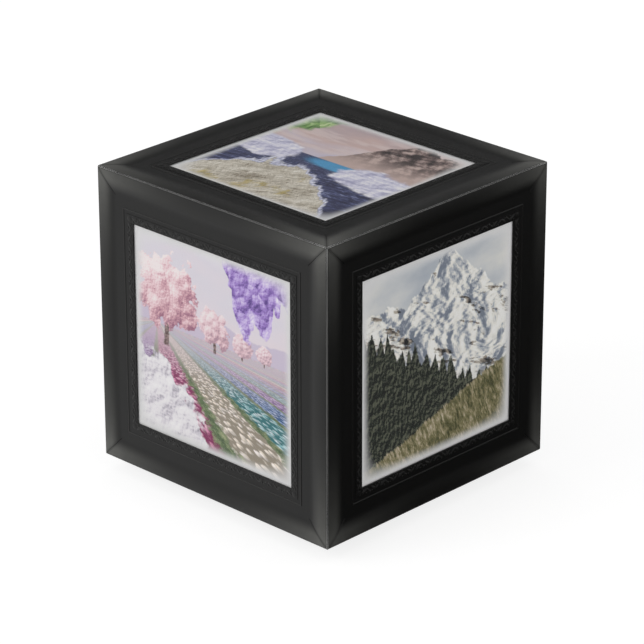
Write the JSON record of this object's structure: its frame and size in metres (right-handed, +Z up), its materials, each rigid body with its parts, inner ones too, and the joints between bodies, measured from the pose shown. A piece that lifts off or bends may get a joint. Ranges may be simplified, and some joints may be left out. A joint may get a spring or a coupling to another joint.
{
  "type": "rotating photo cube",
  "caption": "Photo cube with a moulded, mitred picture frame on each of its five faces, which turns on a low round foot with a ball race.",
  "frame": {"origin": "centre of the round foot at the surface that the rubber pads stand on, on the axis that the cube turns about", "axes": "+Z up along the turning axis; the front picture looks along -Y and the right picture along +X"},
  "size_m": [0.115, 0.115, 0.1206],
  "materials": {
    "frame_moulding": "satin black moulded plastic, hand-rubbed lighter on the outer round",
    "window_clear": "clear acrylic sheet",
    "print_front": "satin photo paper, dawn over rows of flowers",
    "print_right": "satin photo paper, snowy mountains",
    "print_back": "satin photo paper, autumn lake",
    "print_left": "satin photo paper, poppies at evening",
    "print_top": "satin photo paper, coast and sea",
    "backing_board": "grey board",
    "core_plastic": "black moulded plastic, fine spark texture",
    "pin_plastic": "black moulded acetal",
    "foot_plastic": "black moulded plastic",
    "foot_rubber": "black rubber",
    "race_steel": "pressed and zinc-plated sheet",
    "ball_steel": "polished bearing steel",
    "cage_plastic": "natural nylon",
    "bush_plastic": "natural acetal",
    "fastener_steel": "zinc plated"
  },
  "bodies": {
    "foot": {"foot_plate": "foot_plastic", "foot_rim": "foot_plastic", "foot_pads": "foot_rubber", "lower_race": "race_steel", "lower_race_screws": "fastener_steel", "pivot_bolt": "fastener_steel", "pivot_washer": "fastener_steel", "pivot_nut": "fastener_steel"},
    "race_cage": {"ball_cage": "cage_plastic", "bearing_balls": "ball_steel"},
    "cube": {"core_shell": "core_plastic", "bottom_panel": "core_plastic", "panel_screws": "fastener_steel", "upper_race": "race_steel", "upper_race_screws": "fastener_steel", "pivot_bush": "bush_plastic"},
    "front_frame": {"frame_front": "frame_moulding", "pins_front": "pin_plastic", "window_front": "window_clear", "print_front": "print_front", "backing_front": "backing_board"},
    "right_frame": {"frame_right": "frame_moulding", "pins_right": "pin_plastic", "window_right": "window_clear", "print_right": "print_right", "backing_right": "backing_board"},
    "back_frame": {"frame_back": "frame_moulding", "pins_back": "pin_plastic", "window_back": "window_clear", "print_back": "print_back", "backing_back": "backing_board"},
    "left_frame": {"frame_left": "frame_moulding", "pins_left": "pin_plastic", "window_left": "window_clear", "print_left": "print_left", "backing_left": "backing_board"},
    "top_frame": {"frame_top": "frame_moulding", "pins_top": "pin_plastic", "window_top": "window_clear", "print_top": "print_top", "backing_top": "backing_board"}
  },
  "joints": [
    {"name": "cube_spin", "type": "hinge", "parent": "foot", "child": "cube", "pos_m": [0, 0, 0.0054], "axis": [0, 0, 1], "continuous": true},
    {"name": "cage_spin", "type": "hinge", "parent": "foot", "child": "race_cage", "pos_m": [0, 0, 0.0054], "axis": [0, 0, 1], "continuous": true},
    {"name": "front_frame_pull", "type": "slide", "parent": "cube", "child": "front_frame", "axis": [0, -1, 0], "range_m": [0, 0.03]},
    {"name": "right_frame_pull", "type": "slide", "parent": "cube", "child": "right_frame", "axis": [1, 0, 0], "range_m": [0, 0.03]},
    {"name": "back_frame_pull", "type": "slide", "parent": "cube", "child": "back_frame", "axis": [0, 1, 0], "range_m": [0, 0.03]},
    {"name": "left_frame_pull", "type": "slide", "parent": "cube", "child": "left_frame", "axis": [-1, 0, 0], "range_m": [0, 0.03]},
    {"name": "top_frame_pull", "type": "slide", "parent": "cube", "child": "top_frame", "axis": [0, 0, 1], "range_m": [0, 0.03]}
  ],
  "couplings": [
    {"joint": "cage_spin", "follows": "cube_spin", "ratio": 0.5}
  ]
}
